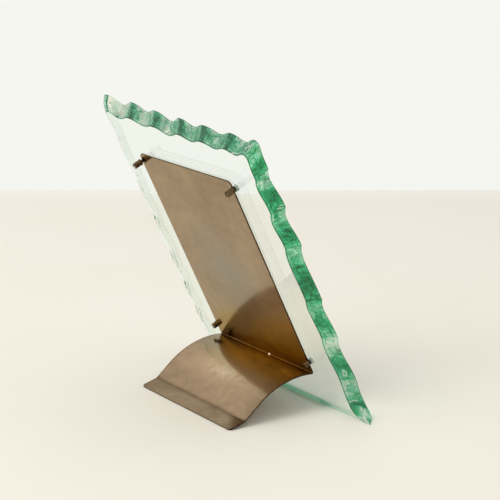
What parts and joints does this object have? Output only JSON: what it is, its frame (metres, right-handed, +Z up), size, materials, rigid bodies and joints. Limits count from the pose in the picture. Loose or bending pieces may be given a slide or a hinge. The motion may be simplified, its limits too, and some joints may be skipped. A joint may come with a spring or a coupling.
{
  "type": "crystal picture frame",
  "caption": "Thick green-edged crystal slab with a chiselled, scalloped edge, leaning back on a bent brown brass sheet that holds a picture behind it and runs out as an arched foot.",
  "frame": {"origin": "middle of the slab's ground bottom edge on the floor, below the middle of the back plate", "axes": "+Z up; the picture is seen from -Y; the foot runs back towards +Y; +X along the slab, to the left as seen from behind"},
  "size_m": [0.2294, 0.1255, 0.2427],
  "materials": {
    "crystal": "polished",
    "sheet_brass": "satin",
    "screw_brass": "satin",
    "plug_metal": "satin",
    "card": "matte"
  },
  "bodies": {
    "frame": {"crystal": "crystal", "stand_sheet": "sheet_brass", "plug_upper_left": "plug_metal", "plug_upper_right": "plug_metal", "plug_lower_left": "plug_metal", "plug_lower_right": "plug_metal"},
    "picture": {"picture_card": "card"},
    "washer_upper_left": {"washer_upper_left": "screw_brass"},
    "screw_upper_left": {"screw_upper_left": "screw_brass"},
    "washer_upper_right": {"washer_upper_right": "screw_brass"},
    "screw_upper_right": {"screw_upper_right": "screw_brass"},
    "washer_lower_left": {"washer_lower_left": "screw_brass"},
    "screw_lower_left": {"screw_lower_left": "screw_brass"},
    "washer_lower_right": {"washer_lower_right": "screw_brass"},
    "screw_lower_right": {"screw_lower_right": "screw_brass"}
  },
  "joints": [
    {"name": "picture_slide", "type": "slide", "parent": "frame", "child": "picture", "axis": [0, 0.4321, 0.9018], "range_m": [0, 0.19]},
    {"name": "travel_upper_left", "type": "slide", "parent": "frame", "child": "washer_upper_left", "axis": [0, 0.9018, -0.4321], "range_m": [-0.0016, 0.0024]},
    {"name": "turn_upper_left", "type": "hinge", "parent": "washer_upper_left", "child": "screw_upper_left", "pos_m": [0.065, 0.10303, 0.19249], "axis": [0, 0.9018, -0.4321], "range_deg": [-1152, 1728]},
    {"name": "travel_upper_right", "type": "slide", "parent": "frame", "child": "washer_upper_right", "axis": [0, 0.9018, -0.4321], "range_m": [0, 0.004]},
    {"name": "turn_upper_right", "type": "hinge", "parent": "washer_upper_right", "child": "screw_upper_right", "pos_m": [-0.065, 0.10158, 0.19319], "axis": [0, 0.9018, -0.4321], "range_deg": [0, 2880]},
    {"name": "travel_lower_left", "type": "slide", "parent": "frame", "child": "washer_lower_left", "axis": [0, 0.9018, -0.4321], "range_m": [0, 0.004]},
    {"name": "turn_lower_left", "type": "hinge", "parent": "washer_lower_left", "child": "screw_lower_left", "pos_m": [0.065, 0.02899, 0.04168], "axis": [0, 0.9018, -0.4321], "range_deg": [0, 2880]},
    {"name": "travel_lower_right", "type": "slide", "parent": "frame", "child": "washer_lower_right", "axis": [0, 0.9018, -0.4321], "range_m": [0, 0.004]},
    {"name": "turn_lower_right", "type": "hinge", "parent": "washer_lower_right", "child": "screw_lower_right", "pos_m": [-0.065, 0.02899, 0.04168], "axis": [0, 0.9018, -0.4321], "range_deg": [0, 2880]}
  ],
  "couplings": [
    {"joint": "turn_upper_left", "follows": "travel_upper_left", "rad_per_m": 12566},
    {"joint": "turn_upper_right", "follows": "travel_upper_right", "rad_per_m": 12566},
    {"joint": "turn_lower_left", "follows": "travel_lower_left", "rad_per_m": 12566},
    {"joint": "turn_lower_right", "follows": "travel_lower_right", "rad_per_m": 12566}
  ]
}
